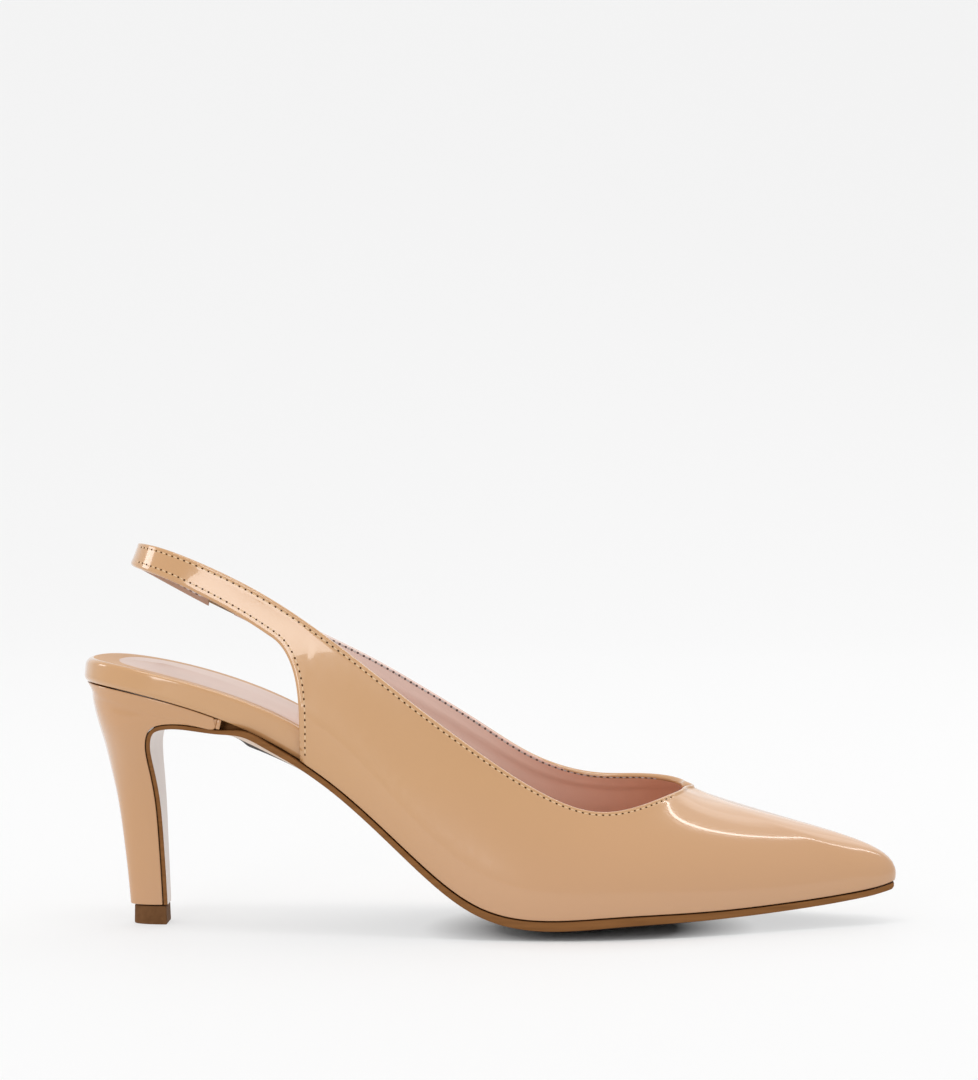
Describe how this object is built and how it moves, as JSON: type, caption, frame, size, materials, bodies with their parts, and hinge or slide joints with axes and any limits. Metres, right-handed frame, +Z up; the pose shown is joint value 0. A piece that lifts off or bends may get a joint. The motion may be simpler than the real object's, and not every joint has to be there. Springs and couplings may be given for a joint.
{
  "type": "slingback pump",
  "caption": "Pointed patent leather slingback pump on a slim covered heel, hollow upper with a sling strap, standing empty.",
  "frame": {"origin": "on the floor under the middle of the shoe's box", "axes": "+X to the toe, +Y to the inner side of the foot, +Z up"},
  "size_m": [0.2432, 0.0752, 0.1152],
  "materials": {
    "upper": "tan patent, high gloss",
    "elastic": "woven, matt",
    "outsole": "brown, polished edge",
    "insole": "tan patent over board",
    "sock": "pale pink, satin",
    "heel": "tan patent cover, high gloss",
    "top_piece": "dark brown, matt"
  },
  "bodies": {
    "root": {"upper": "upper", "elastic": "elastic", "outsole": "outsole", "insole": "insole", "sock": "sock", "heel": "heel", "top_piece": "top_piece"}
  },
  "joints": []
}
